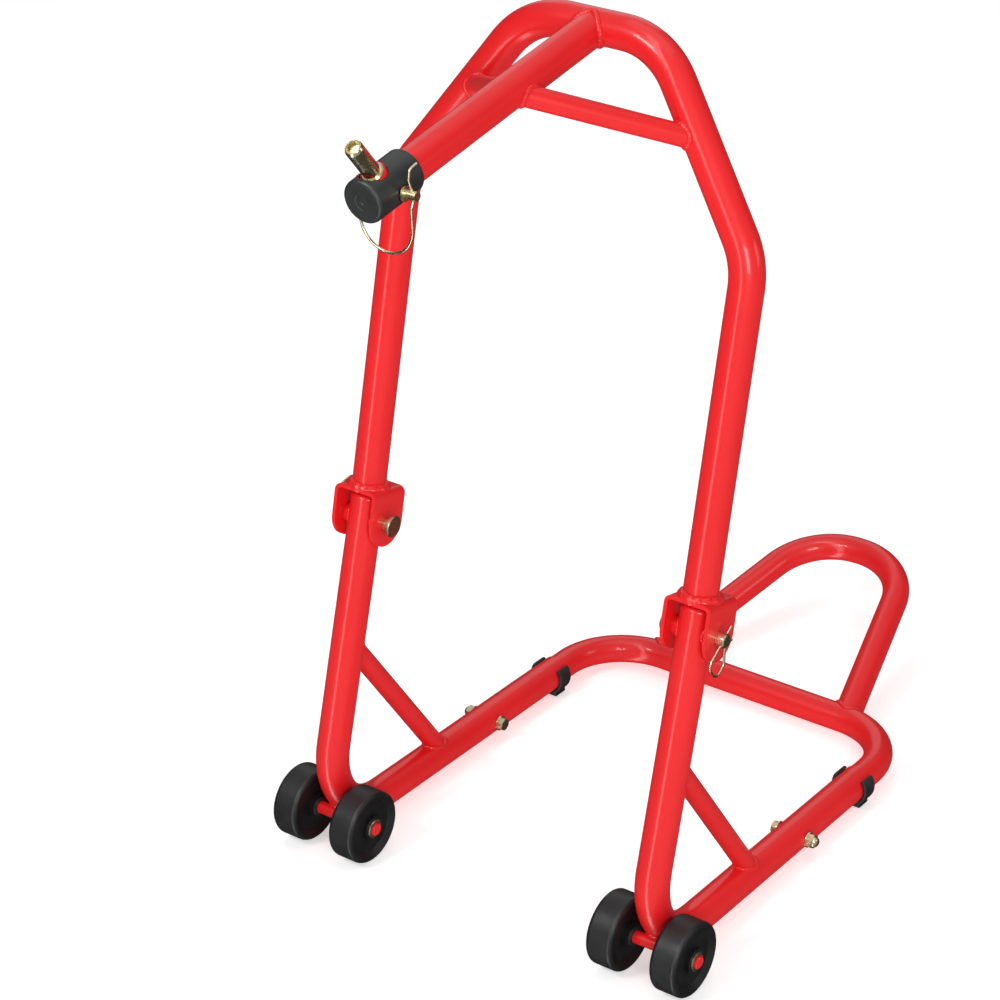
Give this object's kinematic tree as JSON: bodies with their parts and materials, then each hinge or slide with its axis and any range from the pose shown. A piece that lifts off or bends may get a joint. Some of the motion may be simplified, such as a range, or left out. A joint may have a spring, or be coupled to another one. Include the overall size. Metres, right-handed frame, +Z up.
{
  "type": "motorcycle paddock stand",
  "caption": "Tubular head-lift motorcycle stand: wheeled side frames, folding arch with forward arm and steering-stem pin, rear tube with lifting handle.",
  "frame": {"origin": "on the floor, under the centre of the stand's bounding box", "axes": "+X across the stand towards the retaining pin's head, +Y from the arm end towards the lifting handle, +Z up"},
  "size_m": [0.515, 0.959, 0.9124],
  "materials": {
    "red_paint": "glossy powder coat",
    "yellow_zinc": "yellow zinc plating",
    "wheel_black": "satin moulded",
    "sleeve_black": "satin moulded",
    "foot_rubber": "matte"
  },
  "bodies": {
    "base": {"side_tube_left": "red_paint", "side_tube_right": "red_paint", "leg_brace_left": "red_paint", "leg_brace_right": "red_paint", "leg_end_cap_left": "red_paint", "leg_end_cap_right": "red_paint", "pin_bush_left": "red_paint", "pin_bush_right": "red_paint", "rear_tube": "red_paint", "handle_hoop": "red_paint", "axle_left": "red_paint", "axle_right": "red_paint", "axle_cap_left_outer": "yellow_zinc", "axle_cap_left_inner": "yellow_zinc", "axle_cap_right_inner": "yellow_zinc", "axle_cap_right_outer": "yellow_zinc", "clamp_bolt_left": "yellow_zinc", "clamp_bolt_right": "yellow_zinc", "clamp_nut_left": "yellow_zinc", "clamp_nut_right": "yellow_zinc", "axle_collar_left_outer": "sleeve_black", "axle_collar_left_inner": "sleeve_black", "axle_collar_right_inner": "sleeve_black", "axle_collar_right_outer": "sleeve_black", "rubber_foot_left": "foot_rubber", "rubber_foot_right": "foot_rubber"},
    "arch": {"arch_tube": "red_paint", "clevis_bracket_left": "red_paint", "clevis_bracket_right": "red_paint", "arm_tube": "red_paint", "arm_brace_left": "red_paint", "arm_brace_right": "red_paint", "arm_sleeve": "sleeve_black", "stem_socket": "red_paint", "stem_pin": "yellow_zinc"},
    "wheel_left_outer": {"wheel_left_outer": "wheel_black"},
    "wheel_left_inner": {"wheel_left_inner": "wheel_black"},
    "wheel_right_inner": {"wheel_right_inner": "wheel_black"},
    "wheel_right_outer": {"wheel_right_outer": "wheel_black"},
    "clevis_pin_left": {"clevis_pin_left": "yellow_zinc"},
    "clevis_pin_right": {"clevis_pin_right": "yellow_zinc"},
    "hairpin_left": {"hairpin_left": "yellow_zinc"},
    "hairpin_right": {"hairpin_right": "yellow_zinc"},
    "retaining_pin": {"retaining_pin": "yellow_zinc", "retaining_wire": "yellow_zinc"}
  },
  "joints": [
    {"name": "arch_fold", "type": "hinge", "parent": "base", "child": "arch", "pos_m": [0, -0.22031, 0.36388], "axis": [-1, 0, 0], "range_deg": [0, 105]},
    {"name": "wheel_left_outer_spin", "type": "hinge", "parent": "base", "child": "wheel_left_outer", "pos_m": [-0.2374, -0.28289, 0.0396], "axis": [1, 0, 0], "continuous": true},
    {"name": "wheel_left_inner_spin", "type": "hinge", "parent": "base", "child": "wheel_left_inner", "pos_m": [-0.1626, -0.28289, 0.0396], "axis": [1, 0, 0], "continuous": true},
    {"name": "wheel_right_inner_spin", "type": "hinge", "parent": "base", "child": "wheel_right_inner", "pos_m": [0.1626, -0.28289, 0.0396], "axis": [1, 0, 0], "continuous": true},
    {"name": "wheel_right_outer_spin", "type": "hinge", "parent": "base", "child": "wheel_right_outer", "pos_m": [0.2374, -0.28289, 0.0396], "axis": [1, 0, 0], "continuous": true},
    {"name": "clevis_pin_left_turn", "type": "hinge", "parent": "arch", "child": "clevis_pin_left", "pos_m": [-0.2, -0.22031, 0.36388], "axis": [1, 0, 0], "continuous": true},
    {"name": "hairpin_left_pull", "type": "slide", "parent": "clevis_pin_left", "child": "hairpin_left", "axis": [0, -0.1736, 0.9848], "range_m": [0, 0.034]},
    {"name": "clevis_pin_right_turn", "type": "hinge", "parent": "arch", "child": "clevis_pin_right", "pos_m": [0.2, -0.22031, 0.36388], "axis": [1, 0, 0], "continuous": true},
    {"name": "hairpin_right_pull", "type": "slide", "parent": "clevis_pin_right", "child": "hairpin_right", "axis": [0, -0.8223, -0.569], "range_m": [0, 0.034]},
    {"name": "retaining_pin_swing", "type": "hinge", "parent": "arch", "child": "retaining_pin", "pos_m": [0, -0.43127, 0.83446], "axis": [-1, 0, 0], "range_deg": [-60, 130]}
  ]
}
